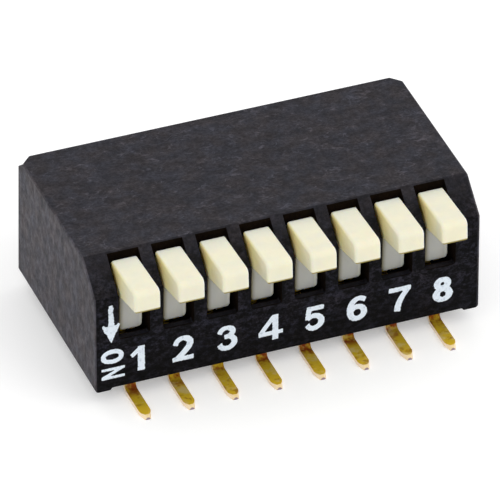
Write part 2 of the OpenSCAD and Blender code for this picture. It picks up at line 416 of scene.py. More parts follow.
@dataclass(frozen=True)
class HousingFaces:
    """Where the cover's faces with colours of their own lie, painted light and shade among
    them: 1 on them and 0 elsewhere.

    The paler faces, painted light, are the roof and, more and more upwards, the
    bevel. The ends get a painted sheen, the slots' insides painted shade, and
    the ledges a lighter painted shade.
    """

    ends: Socket
    roof: Socket
    paler: Socket
    slot_shade: Socket
    ledge: Socket


@dataclass(frozen=True)
class HousingPolyester:
    """Black polyester (PBT) with chopped glass, moulded in an etched steel tool.

    The glass lies in the skin as pale curled fibres, so the roof shows a grey
    mottle that leans to blue or brown from place to place. The roof's grey is the
    lit colour of the black, and the bevel is painted paler towards its top, as
    painted light. The ends are painted paler still, a painted sheen at a grazing
    angle, and have upright draw marks. The face for the print is painted darker,
    as painted shade, with bluish flecks that thin out downwards. The slots are
    formed by coarse eroded cores, which leave them rough; their nearly black
    colour is painted shade, and so is the darker colour of the ledges in their
    floors.
    """

    # The same black in light and shade: the roof's colour is the lit one, the front's is
    # painted shade, the ends' a painted sheen, and the slots' and ledges' colours are
    # painted shade.
    roof: str = "#3b3a3e"
    front: str = "#020203"
    fleck: str = "#33323b"
    ends: str = "#545256"
    slot_shade: str = "#160e07"
    ledge: str = "#232227"
    glass: str = "#66646b"
    blue: str = "#dadde8"
    brown: str = "#e6dddb"
    # The real mottle is finer than 0.1 mm. Its main clouds are drawn 0.2 to 0.7 mm
    # wide, so that they show.
    grain: Clouds = Clouds(
        5.0, 0.79, 1.25, (0.9, 1, 1), detail=5, roughness=0.8, window=(0.4, 0.6)
    )
    clumps: Clouds = Clouds(1.5, 0.8, 1.2, (0.7, 1, 1), detail=3, window=(0.35, 0.65))
    drawn: Clouds = Clouds(
        2.4, 0.68, 1.32, (1, 1, 0.6), detail=5, roughness=0.8, window=(0.4, 0.6)
    )
    flecks: Clouds = Clouds(
        3.0, 0.0, 1.0, (0.8, 1, 1.2), detail=5, roughness=0.8, window=(0.42, 0.7)
    )
    hues: Clouds = Clouds(0.9, detail=3)
    # Glass fibres are 10 to 15 microns thick and up to 0.4 mm long. They are drawn
    # two or three times as thick, and longer, so that they show.
    fibres: tuple[Fibres, ...] = (Fibres(1.1, -12), Fibres(1.7, 25), Fibres(2.3, 70))
    grit: Clouds = Clouds(7.0, detail=3)
    grit_depth: float = 0.008
    matt: Clouds = Clouds(3.0, 0.43, 0.57)
    cored_roughness: float = 1.0
    specular: float = 0.06
    haze_foot: float = 1.6
    haze_top: float = 3.6
    haze_least: float = 0.45
    # The bevel is painted paler towards its top, as painted light, up to this share of the
    # roof's colour.
    bevel_foot: float = 6.9
    bevel_top: float = 8.5
    bevel_share: float = 0.6
    # The normal's Z, X or Y where a face starts to count, and where it fully does.
    roof_facing: Pair = (0.66, 1.0)
    wall_facing: Pair = (0.78, 0.95)
    front_facing: Pair = (-0.6, -0.9)
    # Distances from an end face.
    end_fade: Pair = (0.12, 0.04)
    end_depth: float = 0.5
    edge: float = 0.05

    def faces(
        self, recipe: Recipe, end_x: float, slot: SlotShape
    ) -> HousingFaces:
        """Finds the faces that get colours of their own, painted light and shade among
        them.

        Args:
            recipe: The material in the making.
            end_x: Distance of an end face from the middle, in millimetres.
            slot: The places round a slot that the colours follow.

        Returns:
            The faces.
        """
        add = recipe.add
        facing_x, facing_y, upward = (
            add("ShaderNodeSeparateXYZ", None, {"Vector": recipe.normal}, part)
            for part in "XYZ"
        )
        across, back, height = (
            add("ShaderNodeSeparateXYZ", None, {"Vector": recipe.place}, part)
            for part in "XYZ"
        )
        outward = add("ShaderNodeMath", UNSIGNED, {0: across})
        sideways = add("ShaderNodeMath", UNSIGNED, {0: facing_x})
        from_end = add("ShaderNodeMath", MINUS, {0: end_x, 1: outward})
        # Masks of painted light and shade: a painted sheen on the ends, and painted shade
        # in the groove and in the gap behind the ledge.
        ends, roof, walls, forward, groove_shadow, gap_shade = (
            add(
                "ShaderNodeMapRange",
                SMOOTH,
                {"Value": value, "From Min": start, "From Max": full},
            )
            for value, (start, full) in (
                (from_end, self.end_fade),
                (upward, self.roof_facing),
                (sideways, self.wall_facing),
                (facing_y, self.front_facing),
                (back, (slot.groove_y + slot.blur, slot.groove_y - slot.blur)),
                (back, (slot.ledge_y - slot.blur, slot.ledge_y + slot.blur)),
            )
        )
        # Painted light: the bevel is painted paler towards its top.
        bevel_light = add(
            "ShaderNodeMapRange",
            SMOOTH,
            {
                "Value": height,
                "From Min": self.bevel_foot,
                "From Max": self.bevel_top,
                "To Max": self.bevel_share,
            },
        )
        paler = add("ShaderNodeMath", LARGER, {0: roof, 1: bevel_light})
        # The slots' side walls, their back, the groove and the gap behind the ledge get
        # painted shade, and the rest of the ledge a lighter painted shade.
        inner = add("ShaderNodeMath", OVER, {0: from_end, 1: self.end_depth})
        walls = add("ShaderNodeMath", TIMES, {0: walls, 1: inner})
        deep = add("ShaderNodeMath", OVER, {0: back, 1: slot.back_y})
        behind = add("ShaderNodeMath", TIMES, {0: forward, 1: deep})
        low = add("ShaderNodeMath", UNDER, {0: height, 1: slot.floor_z})
        floor = add("ShaderNodeMath", TIMES, {0: roof, 1: low})
        off_ledge = add("ShaderNodeMath", LARGER, {0: groove_shadow, 1: gap_shade})
        slot_shade = add("ShaderNodeMath", TIMES, {0: floor, 1: off_ledge})
        ledge = add("ShaderNodeMath", MINUS, {0: floor, 1: slot_shade})
        for face in (walls, behind):
            slot_shade = add("ShaderNodeMath", LARGER, {0: slot_shade, 1: face})
        return HousingFaces(ends, roof, paler, slot_shade, ledge)

    def colour(self, recipe: Recipe, faces: HousingFaces) -> Socket:
        """Mixes the colours of all faces.

        Args:
            recipe: The material in the making.
            faces: The faces that get colours of their own, painted light and shade among
                them.

        Returns:
            The colour.
        """
        add = recipe.add
        height = add("ShaderNodeSeparateXYZ", None, {"Vector": recipe.place}, "Z")
        haze = add(
            "ShaderNodeMapRange",
            SMOOTH,
            {
                "Value": height,
                "From Min": self.haze_foot,
                "From Max": self.haze_top,
                "To Min": self.haze_least,
            },
        )
        flecks = add("ShaderNodeMath", TIMES, {0: recipe.pattern(self.flecks), 1: haze})
        # The front's colour underneath is painted shade. The roof's lit colour lies over
        # the roof and the top of the bevel.
        layers = [(flecks, self.fleck), (faces.paler, self.roof)]
        for fibres in self.fibres:
            lines = recipe.lines(fibres)
            share = add("ShaderNodeMath", TIMES, {0: lines, 1: faces.roof})
            layers.append((share, self.glass))
        # Painted shade on the ledges and in the slots, and a painted sheen on the ends.
        layers += [
            (faces.ledge, self.ledge),
            (faces.slot_shade, self.slot_shade),
            (faces.ends, self.ends),
        ]
        colour = recipe.paint(self.front, layers)
        mottle = add(
            "ShaderNodeMix",
            None,
            {
                "Factor": faces.ends,
                "A": recipe.pattern(self.grain),
                "B": recipe.pattern(self.drawn),
            },
        )
        clumps = recipe.pattern(self.clumps)
        level = add("ShaderNodeMath", TIMES, {0: mottle, 1: clumps})
        hue = recipe.paint(self.blue, [(recipe.pattern(self.hues), self.brown)])
        for tint in (level, hue):
            colour = add("ShaderNodeMix", TINT, {"Factor": 1.0, "A": colour, "B": tint})
        return colour

    def material(self, end_x: float, slot: SlotShape) -> bpy.types.Material:
        """Makes the material.

        Args:
            end_x: Distance of an end face from the middle, in millimetres.
            slot: The places round a slot that the colours follow.

        Returns:
            The material.
        """
        recipe = Recipe("moulded_black_polyester")
        faces = self.faces(recipe, end_x, slot)
        recipe.relief(self.grit, self.grit_depth, self.edge)
        roughness = recipe.add(
            "ShaderNodeMix",
            None,
            {
                "Factor": faces.slot_shade,
                "A": recipe.pattern(self.matt),
                "B": self.cored_roughness,
            },
        )
        recipe.shade(
            Base_Color=self.colour(recipe, faces),
            Roughness=roughness,
            Specular_IOR_Level=self.specular,
        )
        return recipe.material


@dataclass(frozen=True)
class BaseCrystalPolymer:
    """Black liquid crystal polymer, moulded thin and fast.

    It has a dull, slightly wood-like skin where the flow fronts met, which
    gives it long faint swirls.
    """

    skin: str = "#1b1b1e"
    swirl: str = "#2b2b2e"
    flow: Clouds = Clouds(
        0.8, 0.0, 1.0, (0.5, 2.4, 2.4), detail=6, roughness=0.7, window=(0.38, 0.68)
    )
    matt: Clouds = Clouds(0.8, 0.52, 0.64, (0.5, 2.4, 2.4))
    grit: Clouds = Clouds(8.0, detail=2)
    grit_depth: float = 0.006
    specular: float = 0.25
    edge: float = 0.04

    def material(self) -> bpy.types.Material:
        """Makes the material."""
        recipe = Recipe("moulded_black_crystal_polymer")
        recipe.relief(self.grit, self.grit_depth, self.edge)
        recipe.shade(
            Base_Color=recipe.paint(
                self.skin, [(recipe.pattern(self.flow), self.swirl)]
            ),
            Roughness=recipe.pattern(self.matt),
            Specular_IOR_Level=self.specular,
        )
        return recipe.material


@dataclass(frozen=True)
class RockerNylon:
    """Natural nylon, moulded in a polished tool.

    Light goes a little way in and comes out warm, so the thick finger is a
    soft cream. Its rear is painted cooler, as painted shade from the slot. Its
    sides are painted straw yellow towards the slot, and olive lower down and along
    its lower edges: painted shade deep in the slot and along the finger's
    underside. Its right edges get a white painted highlight. The thin wall of the
    body is painted in shade, a cooler grey white, with a painted olive shadow of
    the pillar on the left and paler painted light on the right.
    """

    # The finger's rear keeps the plain cream, painted cooler as painted shade; the warm
    # blush lies only further forward.
    cream: str = "#e9e9d9"
    warm: str = "#f5f0d5"
    # Painted shade on the finger's sides: straw yellow, and olive deeper in the slot and
    # lower down.
    side: str = "#fdf2b6"
    deep: str = "#c29c2c"
    # Painted highlight on the finger's right edges.
    edge_highlight: str = "#ffffff"
    # Painted shade along the finger's lower edges.
    underside_shade: str = "#96842f"
    # Painted light and shade on the body's wall: its grey white is painted shade below the
    # finger, with a painted shadow of the pillar on its left and painted light on its
    # right.
    wall: str = "#bfbfb9"
    pillar_shadow: str = "#7a6e40"
    clear: str = "#e2e0d2"
    speck: str = "#a8935e"
    blush: Clouds = Clouds(0.6, 0.6, 1.0, (1.0, 1.6, 1.0), detail=1)
    swirl: Clouds = Clouds(1.3, 0.98, 1.01, (1.0, 1.0, 0.6), detail=5)
    dust: Clouds = Clouds(2.1, 0.0, 0.4, detail=2, window=(0.76, 0.8))
    matt: Clouds = Clouds(0.7, 0.37, 0.47)
    grit: Clouds = Clouds(5.0, detail=3)
    grit_depth: float = 0.004
    specular: float = 0.3
    depth: float = 0.45
    depth_by_colour: Triple = (1.0, 0.75, 0.35)
    subsurface: float = 0.35
    # The normal's X where a face starts to count, and where it fully does.
    side_facing: Pair = (0.3, 1.0)
    edge_facing: Pair = (0.1, 0.3)
    face_facing: Pair = (0.85, 0.97)
    # Places along the finger, counted from the front of the body.
    side_fade: Pair = (-2.0, 0.2)
    deep_fade: Pair = (-0.6, 0.8)
    body_fade: Pair = (-0.3, -0.1)
    # How far the painted shade at the cooler rear reaches forward, and how far down the
    # painted shade on the side deepens.
    rear_fade: float = 1.8
    lower_fade: float = 1.1
    lower_least: float = 0.25
    # Heights, counted from the top of the body's wall.
    wall_fade: Pair = (0.1, -0.05)
    # Places across the body, counted from its middle, where the painted shadow on the left
    # and the painted light on the right lie.
    left_rim: Pair = (-0.36, -0.68)
    right_rim: Pair = (0.42, 0.62)
    rim_share: float = 0.8
    # Height of the band of painted shade along the finger's lower edges.
    rim_height: float = 0.08
    edge: float = 0.12

    def finger(self, recipe: Recipe, shape: RockerShape) -> Socket:
        """Mixes the colours of the finger, with its painted shade and painted highlight.

        Args:
            recipe: The material in the making.
            shape: The places on the rocker that its colours follow.

        Returns:
            The colour.
        """
        add = recipe.add
        back, height = (
            add("ShaderNodeSeparateXYZ", None, {"Vector": recipe.place}, part)
            for part in "YZ"
        )
        facing = add("ShaderNodeSeparateXYZ", None, {"Vector": recipe.normal}, "X")
        sideways = add("ShaderNodeMath", UNSIGNED, {0: facing})
        # The underside is where this comes down to under_z.
        level = add(
            "ShaderNodeMath",
            {"operation": "MULTIPLY_ADD"},
            {0: back, 1: shape.under_slope, 2: height},
        )
        front_y, rear_y, under_z = shape.front_y, shape.rear_y, shape.under_z
        on_side, past_top, on_face, inward, inside, forward, under_edge_shade = (
            add(
                "ShaderNodeMapRange",
                SMOOTH,
                {"Value": value, "From Min": start, "From Max": full},
            )
            for value, (start, full) in (
                (sideways, self.side_facing),
                (facing, self.edge_facing),
                (facing, self.face_facing),
                (back, (front_y + fade for fade in self.side_fade)),
                (back, (front_y + fade for fade in self.deep_fade)),
                (back, (rear_y, rear_y - self.rear_fade)),
                (level, (under_z + self.rim_height, under_z)),
            )
        )
        lower = add(
            "ShaderNodeMapRange",
            SMOOTH,
            {
                "Value": height,
                "From Min": shape.top_z,
                "From Max": shape.top_z - self.lower_fade,
                "To Min": self.lower_least,
            },
        )
        # Painted highlight: a band on the right edges, short of the side face.
        highlight_edge = add("ShaderNodeMath", MINUS, {0: past_top, 1: on_face})
        # Painted shade deepens lower down the sides.
        inside = add("ShaderNodeMath", TIMES, {0: inside, 1: lower})
        # The warm blush stops short of the rear, which keeps the cooler cream as painted
        # shade.
        blush = recipe.pattern(self.blush)
        blush = add("ShaderNodeMath", TIMES, {0: blush, 1: forward})
        layers = [(blush, self.warm)]
        # Painted shade on the sides, and a painted highlight on the right edges.
        for place, painted_light in (
            (inward, self.side),
            (inside, self.deep),
            (highlight_edge, self.edge_highlight),
        ):
            share = add("ShaderNodeMath", TIMES, {0: on_side, 1: place})
            layers.append((share, painted_light))
        # Painted shade along the lower edges.
        layers.append((under_edge_shade, self.underside_shade))
        return recipe.paint(self.cream, layers)

    def body(self, recipe: Recipe) -> Socket:
        """Mixes the colours of the body's thin wall, which are painted shade, a painted
        shadow on the left and painted light on the right.

        Args:
            recipe: The material in the making.

        Returns:
            The colour.
        """
        add = recipe.add
        across = add("ShaderNodeSeparateXYZ", None, {"Vector": recipe.place}, "X")
        # Distance from the rocker's own middle, which lies half a pitch past a whole
        # number of them.
        turns = add("ShaderNodeMath", {"operation": "DIVIDE"}, {0: across, 1: PITCH})
        share = add("ShaderNodeMath", {"operation": "FRACT"}, {0: turns})
        offset = add("ShaderNodeMath", MINUS, {0: share, 1: 0.5})
        own_x = add("ShaderNodeMath", TIMES, {0: offset, 1: PITCH})
        # A painted shadow of the pillar on the left, and painted light on the right.
        shadow_left, light_right = (
            add(
                "ShaderNodeMapRange",
                SMOOTH,
                {
                    "Value": own_x,
                    "From Min": start,
                    "From Max": full,
                    "To Max": self.rim_share,
                },
            )
            for start, full in (self.left_rim, self.right_rim)
        )
        return recipe.paint(self.wall, [(shadow_left, self.pillar_shadow), (light_right, self.clear)])

    def material(self, shape: RockerShape) -> bpy.types.Material:
        """Makes the material.

        Args:
            shape: The places on the rocker that its colours follow.

        Returns:
            The material.
        """
        recipe = Recipe("natural_moulded_nylon")
        add = recipe.add
        back, height = (
            add("ShaderNodeSeparateXYZ", None, {"Vector": recipe.place}, part)
            for part in "YZ"
        )
        behind, below = (
            add(
                "ShaderNodeMapRange",
                SMOOTH,
                {"Value": value, "From Min": zero + start, "From Max": zero + full},
            )
            for value, zero, (start, full) in (
                (back, shape.front_y, self.body_fade),
                (height, shape.wall_top, self.wall_fade),
            )
        )
        on_body = add("ShaderNodeMath", TIMES, {0: behind, 1: below})
        finger, body = self.finger(recipe, shape), self.body(recipe)
        colour = add(
            "ShaderNodeMix", COLOURS, {"Factor": on_body, "A": finger, "B": body}
        )
        swirl = recipe.pattern(self.swirl)
        colour = add("ShaderNodeMix", TINT, {"Factor": 1.0, "A": colour, "B": swirl})
        recipe.relief(self.grit, self.grit_depth, self.edge)
        recipe.shade(
            Base_Color=recipe.paint(colour, [(recipe.pattern(self.dust), self.speck)]),
            Roughness=recipe.pattern(self.matt),
            Subsurface_Weight=self.subsurface,
            Subsurface_Radius=self.depth_by_colour,
            Subsurface_Scale=self.depth * MM,
            Specular_IOR_Level=self.specular,
        )
        return recipe.material


@dataclass(frozen=True)
class GoldPlate:
    """Thin gold over nickel on phosphor bronze strip, rolled and then blanked.

    The rolling leaves fine lines along the strip. The blanked edges and the
    coined slopes of the tip are painted paler, a painted reflection of the white
    floor, and the sheared tip shows the bronze. The gold is painted brighter
    towards the tip, a painted highlight away from the dark housing. It has worn
    patches that show the nickel, stained ones that show the bronze, and a
    red-brown tarnish at the heel, where the leg bends into the foot.
    """

    name: str
    gold: str = "#d6ba30"
    dull: str = "#d8c68c"
    rust: str = "#a8741c"
    # Painted reflection of the white floor on the blanked edges and the tip's slopes.
    pale: str = "#fff0dc"
    slope_reflection: str = "#f8e6b8"
    bronze: str = "#ac98a0"
    tarnish: str = "#943a10"
    # Patches 0.2 to 0.5 mm wide.
    worn: Clouds = Clouds(1.6, 0.0, 0.8, window=(0.46, 0.66))
    stained: Clouds = Clouds(2.3, 0.0, 0.8, window=(0.52, 0.68))
    tarnished: Clouds = Clouds(1.9, 0.1, 0.95, window=(0.41, 0.58))
    # The real rolling lines are about 0.01 mm apart. They are drawn 0.1 mm apart,
    # so that they show.
    rolled: Clouds = Clouds(9.0, 0.0, 1.0, (1.0, 0.06, 0.06), detail=3)
    rolled_depth: float = 0.0015
    matt: Clouds = Clouds(2.2, 0.72, 0.86)
    metallic: float = 0.8
    # Painted highlight: the gold's level near the heel and at the tip.
    tip_light: Pair = (0.97, 1.3)
    # The normal's X or Y where a face starts to count, and where it fully does.
    edge_facing: Pair = (0.5, 0.85)
    slope_facing: Pair = (0.15, 0.3)
    # Places along the strip: the heel, and others counted from it.
    heel_y: float = 5.5
    tip_light_start: float = 0.4
    foot_fade: Pair = (0.45, -0.3)
    leg_fade: Pair = (-0.9, -1.5)
    leg_clean: float = 0.8
    # Distances from the sheared tip.
    slope_reach: float = 0.6
    tip_fade: Pair = (0.02, 0.01)
    edge: float = 0.03

    def colour(self, recipe: Recipe, tip_y: float) -> Socket:
        """Mixes the colours of the strip.

        Args:
            recipe: The material in the making.
            tip_y: Distance of the sheared tips from the middle, in millimetres.

        Returns:
            The colour.
        """
        add = recipe.add
        facing_x, facing_y = (
            add("ShaderNodeSeparateXYZ", None, {"Vector": recipe.normal}, part)
            for part in "XY"
        )
        back, height = (
            add("ShaderNodeSeparateXYZ", None, {"Vector": recipe.place}, part)
            for part in "YZ"
        )
        sideways, endways, outward = (
            add("ShaderNodeMath", UNSIGNED, {0: value})
            for value in (facing_x, facing_y, back)
        )
        # Grows along the strip, from the pad down the leg and out to the tip.
        along = add("ShaderNodeMath", MINUS, {0: outward, 1: height})
        on_edge, on_slope, at_tip = (
            add(
                "ShaderNodeMapRange",
                SMOOTH,
                {"Value": value, "From Min": start, "From Max": full},
            )
            for value, (start, full) in (
                (sideways, self.edge_facing),
                (endways, self.slope_facing),
                (outward, (tip_y - fade for fade in self.tip_fade)),
            )
        )
        off_foot, on_leg = (
            add(
                "ShaderNodeMapRange",
                SMOOTH,
                {
                    "Value": along,
                    "From Min": self.heel_y + start,
                    "From Max": self.heel_y + full,
                    "To Max": most,
                },
            )
            for (start, full), most in (
                (self.foot_fade, 1.0),
                (self.leg_fade, self.leg_clean),
            )
        )
        # Painted highlight: the gold is painted lighter from near the heel out to the tip.
        shaded_level, brighter = self.tip_light
        level = add(
            "ShaderNodeMapRange",
            SMOOTH,
            {
                "Value": outward,
                "From Min": self.heel_y + self.tip_light_start,
                "From Max": tip_y,
                "To Min": shaded_level,
                "To Max": brighter,
            },
        )
        near_tip = add(
            "ShaderNodeMath", OVER, {0: outward, 1: tip_y - self.slope_reach}
        )
        on_slope = add("ShaderNodeMath", TIMES, {0: on_slope, 1: near_tip})
        sheared = add("ShaderNodeMath", TIMES, {0: at_tip, 1: endways})
        at_heel = add("ShaderNodeMath", MINUS, {0: off_foot, 1: on_leg})
        tarnished = recipe.pattern(self.tarnished)
        at_heel = add("ShaderNodeMath", TIMES, {0: at_heel, 1: tarnished})
        worn, stained = (
            recipe.pattern(patches) for patches in (self.worn, self.stained)
        )
        colour = recipe.paint(self.gold, [(worn, self.dull), (stained, self.rust)])
        colour = add("ShaderNodeMix", TINT, {"Factor": 1.0, "A": colour, "B": level})
        # Painted reflection of the white floor on the tip's slopes and on the edges.
        return recipe.paint(
            colour,
            [
                (at_heel, self.tarnish),
                (on_slope, self.slope_reflection),
                (on_edge, self.pale),
                (sheared, self.bronze),
            ],
        )

    def material(self, tip_y: float) -> bpy.types.Material:
        """Makes the material.

        Args:
            tip_y: Distance of the sheared tips from the middle, in millimetres.

        Returns:
            The material.
        """
        recipe = Recipe(self.name)
        recipe.relief(self.rolled, self.rolled_depth, self.edge)
        recipe.shade(
            Base_Color=self.colour(recipe, tip_y),
            Metallic=self.metallic,
            Roughness=recipe.pattern(self.matt),
        )
        return recipe.material


@dataclass(frozen=True)
class PadInk:
    """White two-part pad-printing ink.

    It is a chalky film with pinholes and a slightly blue white.
    """

    white: str = "#ebf5ff"
    thin: str = "#c2cedc"
    pinholes: Clouds = Clouds(5.0, detail=5, roughness=0.8, window=(0.5, 0.7))
    grit: Clouds = Clouds(12.0, detail=2)
    grit_depth: float = 0.004
    roughness: float = 0.7
    specular: float = 0.25

    def material(self) -> bpy.types.Material:
        """Makes the material."""
        recipe = Recipe("white_pad_ink")
        recipe.relief(self.grit, self.grit_depth)
        recipe.shade(
            Base_Color=recipe.paint(
                self.white, [(recipe.pattern(self.pinholes), self.thin)]
            ),
            Roughness=self.roughness,
            Specular_IOR_Level=self.specular,
        )
        return recipe.material


# ---- Print on the front face ----


@dataclass(frozen=True)
class Stroke:
    """One pull of a marking pen.

    Points are (x, z, width) in millimetres: across the print, up from the
    board, and the width of the ink there. A smooth stroke curves through its
    points, and a closed one returns to its first.
    """

    points: tuple[tuple[float, float, float], ...]
    smooth: bool = True
    closed: bool = False


def bar(*points: tuple[float, float, float]) -> Stroke:
    """A stroke that runs straight from point to point."""
    return Stroke(points, smooth=False)


def pull(*points: tuple[float, float, float]) -> Stroke:
    """A stroke that curves through its points."""
    return Stroke(points)


def ring(
    x: float, z: float, half_width: float, half_height: float, ink: float, cap: float
) -> Stroke:
    """A closed oval stroke.

    Args:
        x: Its middle across the print.
        z: Its middle above the board.
        half_width: Half of its middle line's width.
        half_height: Half of its middle line's height.
        ink: Width of the ink at its sides.
        cap: Width of the ink at its top and bottom.

    Returns:
        The stroke.
    """
    return Stroke(
        (
            (x + half_width, z, ink),
            (x, z + half_height, cap),
            (x - half_width, z, ink),
            (x, z - half_height, cap),
        ),
        closed=True,
    )


@dataclass(frozen=True)
class Mark:
    """One printed sign: its strokes, and the place across that they count from."""

    name: str
    x: float
    strokes: tuple[Stroke, ...]


@dataclass(frozen=True)
class Print:
    """The numbers, the arrow and the word ON, printed on the cover's front face.

    Each sign is drawn with a round pen, flattened to a film of ink, and lies on
    the cover where a line from the front first meets it.
    """

    film: float = 0.02
    grain: float = 0.022
    ragged: float = 0.07
    ragged_size: float = 0.11
    ragged_depths: tuple[tuple[str, int], ...] = (("X", 1), ("Z", 3))
    curve_steps: int = 10
    rod_steps: int = 4
    ink: PadInk = PadInk()
    body: str = "housing"
    arrow_x: float = -10.24

    def digits(self) -> tuple[tuple[Stroke, ...], ...]:
        """The strokes of 1 to 8, each counted across from its own rocker's middle."""
        return (
            (
                bar((0.375, 3.42, 0.4), (0.375, 1.83, 0.4)),
                bar((0.3, 3.26, 0.28), (-0.19, 2.85, 0.26)),
            ),
            (
                pull(
                    (-0.21, 2.9, 0.31),
                    (-0.07, 3.17, 0.31),
                    (0.27, 3.29, 0.32),
                    (0.61, 3.1, 0.39),
                    (0.64, 2.86, 0.39),
                    (0.4, 2.48, 0.37),
                    (-0.12, 2.0, 0.31),
                ),
                bar((-0.37, 1.975, 0.28), (0.85, 1.975, 0.28)),
            ),
            (
                pull(
                    (-0.19, 2.99, 0.31),
                    (-0.07, 3.2, 0.31),
                    (0.21, 3.31, 0.3),
                    (0.58, 3.07, 0.35),
                    (0.44, 2.82, 0.31),
                    (0.12, 2.74, 0.28),
                ),
                pull(
                    (0.12, 2.74, 0.28),
                    (0.5, 2.68, 0.31),
                    (0.68, 2.38, 0.35),
                    (0.5, 2.07, 0.33),
                    (0.21, 1.99, 0.31),
                    (-0.05, 2.08, 0.31),
                    (-0.19, 2.3, 0.31),
                ),
            ),
            (
                bar((0.52, 3.48, 0.35), (0.52, 1.87, 0.35)),
                bar((0.42, 3.36, 0.28), (-0.36, 2.36, 0.28)),
                bar((-0.45, 2.32, 0.29), (0.95, 2.32, 0.26)),
            ),
            (
                bar((-0.16, 3.3, 0.31), (0.8, 3.3, 0.3)),
                bar((-0.05, 3.3, 0.31), (-0.14, 2.62, 0.29)),
                pull(
                    (-0.14, 2.64, 0.26),
                    (0.06, 2.78, 0.28),
                    (0.32, 2.82, 0.31),
                    (0.67, 2.42, 0.37),
                    (0.3, 2.02, 0.32),
                    (0.0, 2.08, 0.31),
                    (-0.18, 2.28, 0.31),
                ),
            ),
            (
                pull(
                    (0.7, 3.16, 0.3),
                    (0.34, 3.31, 0.31),
                    (-0.05, 3.1, 0.35),
                    (-0.2, 2.7, 0.37),
                    (-0.19, 2.38, 0.37),
                ),
                ring(0.22, 2.4, 0.4, 0.38, 0.37, 0.33),
            ),
            (
                bar((-0.47, 3.3, 0.3), (0.82, 3.3, 0.3)),
                pull(
                    (0.64, 3.22, 0.31),
                    (0.36, 2.84, 0.33),
                    (0.11, 2.34, 0.37),
                    (0.02, 1.88, 0.39),
                ),
            ),
            (
                ring(0.15, 3.02, 0.31, 0.27, 0.41, 0.34),
                ring(0.17, 2.33, 0.38, 0.34, 0.44, 0.31),
            ),
        )

    def marks(self) -> list[Mark]:
        """Every sign of the print."""
        middle = (POSITIONS + 1) / 2
        signs = [
            Mark(f"print_{k}", (k - middle) * PITCH, strokes)
            for k, strokes in enumerate(self.digits(), 1)
        ]
        signs.append(
            Mark(
                "print_arrow",
                self.arrow_x,
                (
                    pull(
                        (0.0, 6.44, 0.2),
                        (0.0, 6.2, 0.3),
                        (-0.01, 5.95, 0.25),
                        (0.02, 5.6, 0.31),
                        (0.02, 5.0, 0.36),
                    ),
                    bar((0.01, 5.12, 0.98), (0.01, 4.02, 0.02)),
                    bar((-0.47, 5.2, 0.14), (-0.2, 4.75, 0.3)),
                    bar((0.47, 5.2, 0.14), (0.2, 4.75, 0.3)),
                ),
            )
        )
        signs.append(
            Mark(
                "print_on",
                self.arrow_x,
                (
                    ring(0.06, 3.12, 0.52, 0.32, 0.28, 0.28),
                    bar((-0.57, 2.31, 0.17), (0.76, 2.31, 0.17)),
                    bar((0.68, 2.31, 0.17), (-0.5, 1.8, 0.21)),
                    bar((-0.57, 1.77, 0.19), (0.76, 1.77, 0.17)),
                ),
            )
        )
        return signs

    def draw(self, stroke: Stroke) -> bpy.types.Object:
        """Draws one stroke as a round rod, in millimetres, in the XZ plane.

        Args:
            stroke: The stroke.

        Returns:
            The rod, as a mesh.
        """
        bpy.ops.curve.primitive_bezier_curve_add(enter_editmode=False)
        rod = bpy.context.object
        rod.data.splines.clear()
        spline = rod.data.splines.new("BEZIER")
        spline.bezier_points.add(len(stroke.points) - 1)
        for point, (x, z, width) in zip(spline.bezier_points, stroke.points):
            point.co = (x, 0, z)
            point.radius = width / 2
            kind = "AUTO" if stroke.smooth else "VECTOR"
            point.handle_left_type = point.handle_right_type = kind
        spline.use_cyclic_u = stroke.closed
        spline.resolution_u = self.curve_steps
        rod.data.bevel_depth = 1.0
        rod.data.bevel_resolution = self.rod_steps
        rod.data.use_fill_caps = True
        bpy.ops.object.convert(target="MESH")
        return bpy.context.object

    def ragged_edges(self, piece: bpy.types.Object) -> None:
        """Moves the ink a little by a fine noise, so that its edges waver.

        Args:
            piece: The sign, in millimetres.
        """
        for axis, depth in self.ragged_depths:
            noise = bpy.data.textures.new(f"{piece.name}_{axis}", "CLOUDS")
            noise.noise_scale = self.ragged_size
            noise.noise_depth = depth
            waver = piece.modifiers.new(f"waver_{axis}", "DISPLACE")
            waver.texture = noise
            waver.texture_coords = "LOCAL"
            waver.direction = axis
            waver.strength = self.ragged
            bpy.ops.object.modifier_apply(modifier=waver.name)
            bpy.data.textures.remove(noise)

    def face(self, x: float, z: float) -> tuple[Vector, float]:
        """Finds the cover's front face.

        Args:
            x: Place across, in metres.
            z: Height, in metres.

        Returns:
            The place where a line from the front meets the face, and the face's
            lean, in radians.
        """
        cover = frame["nodes"]["cover"]
        start = Vector((x, CAD_BOX[0][1], z))
        found, place, normal, _ = cover.ray_cast(start, Vector((0, 1, 0)))
        if not found:
            raise ValueError(f"no face in front of x {x}, z {z}")
        return place, math.atan2(normal.z, -normal.y)

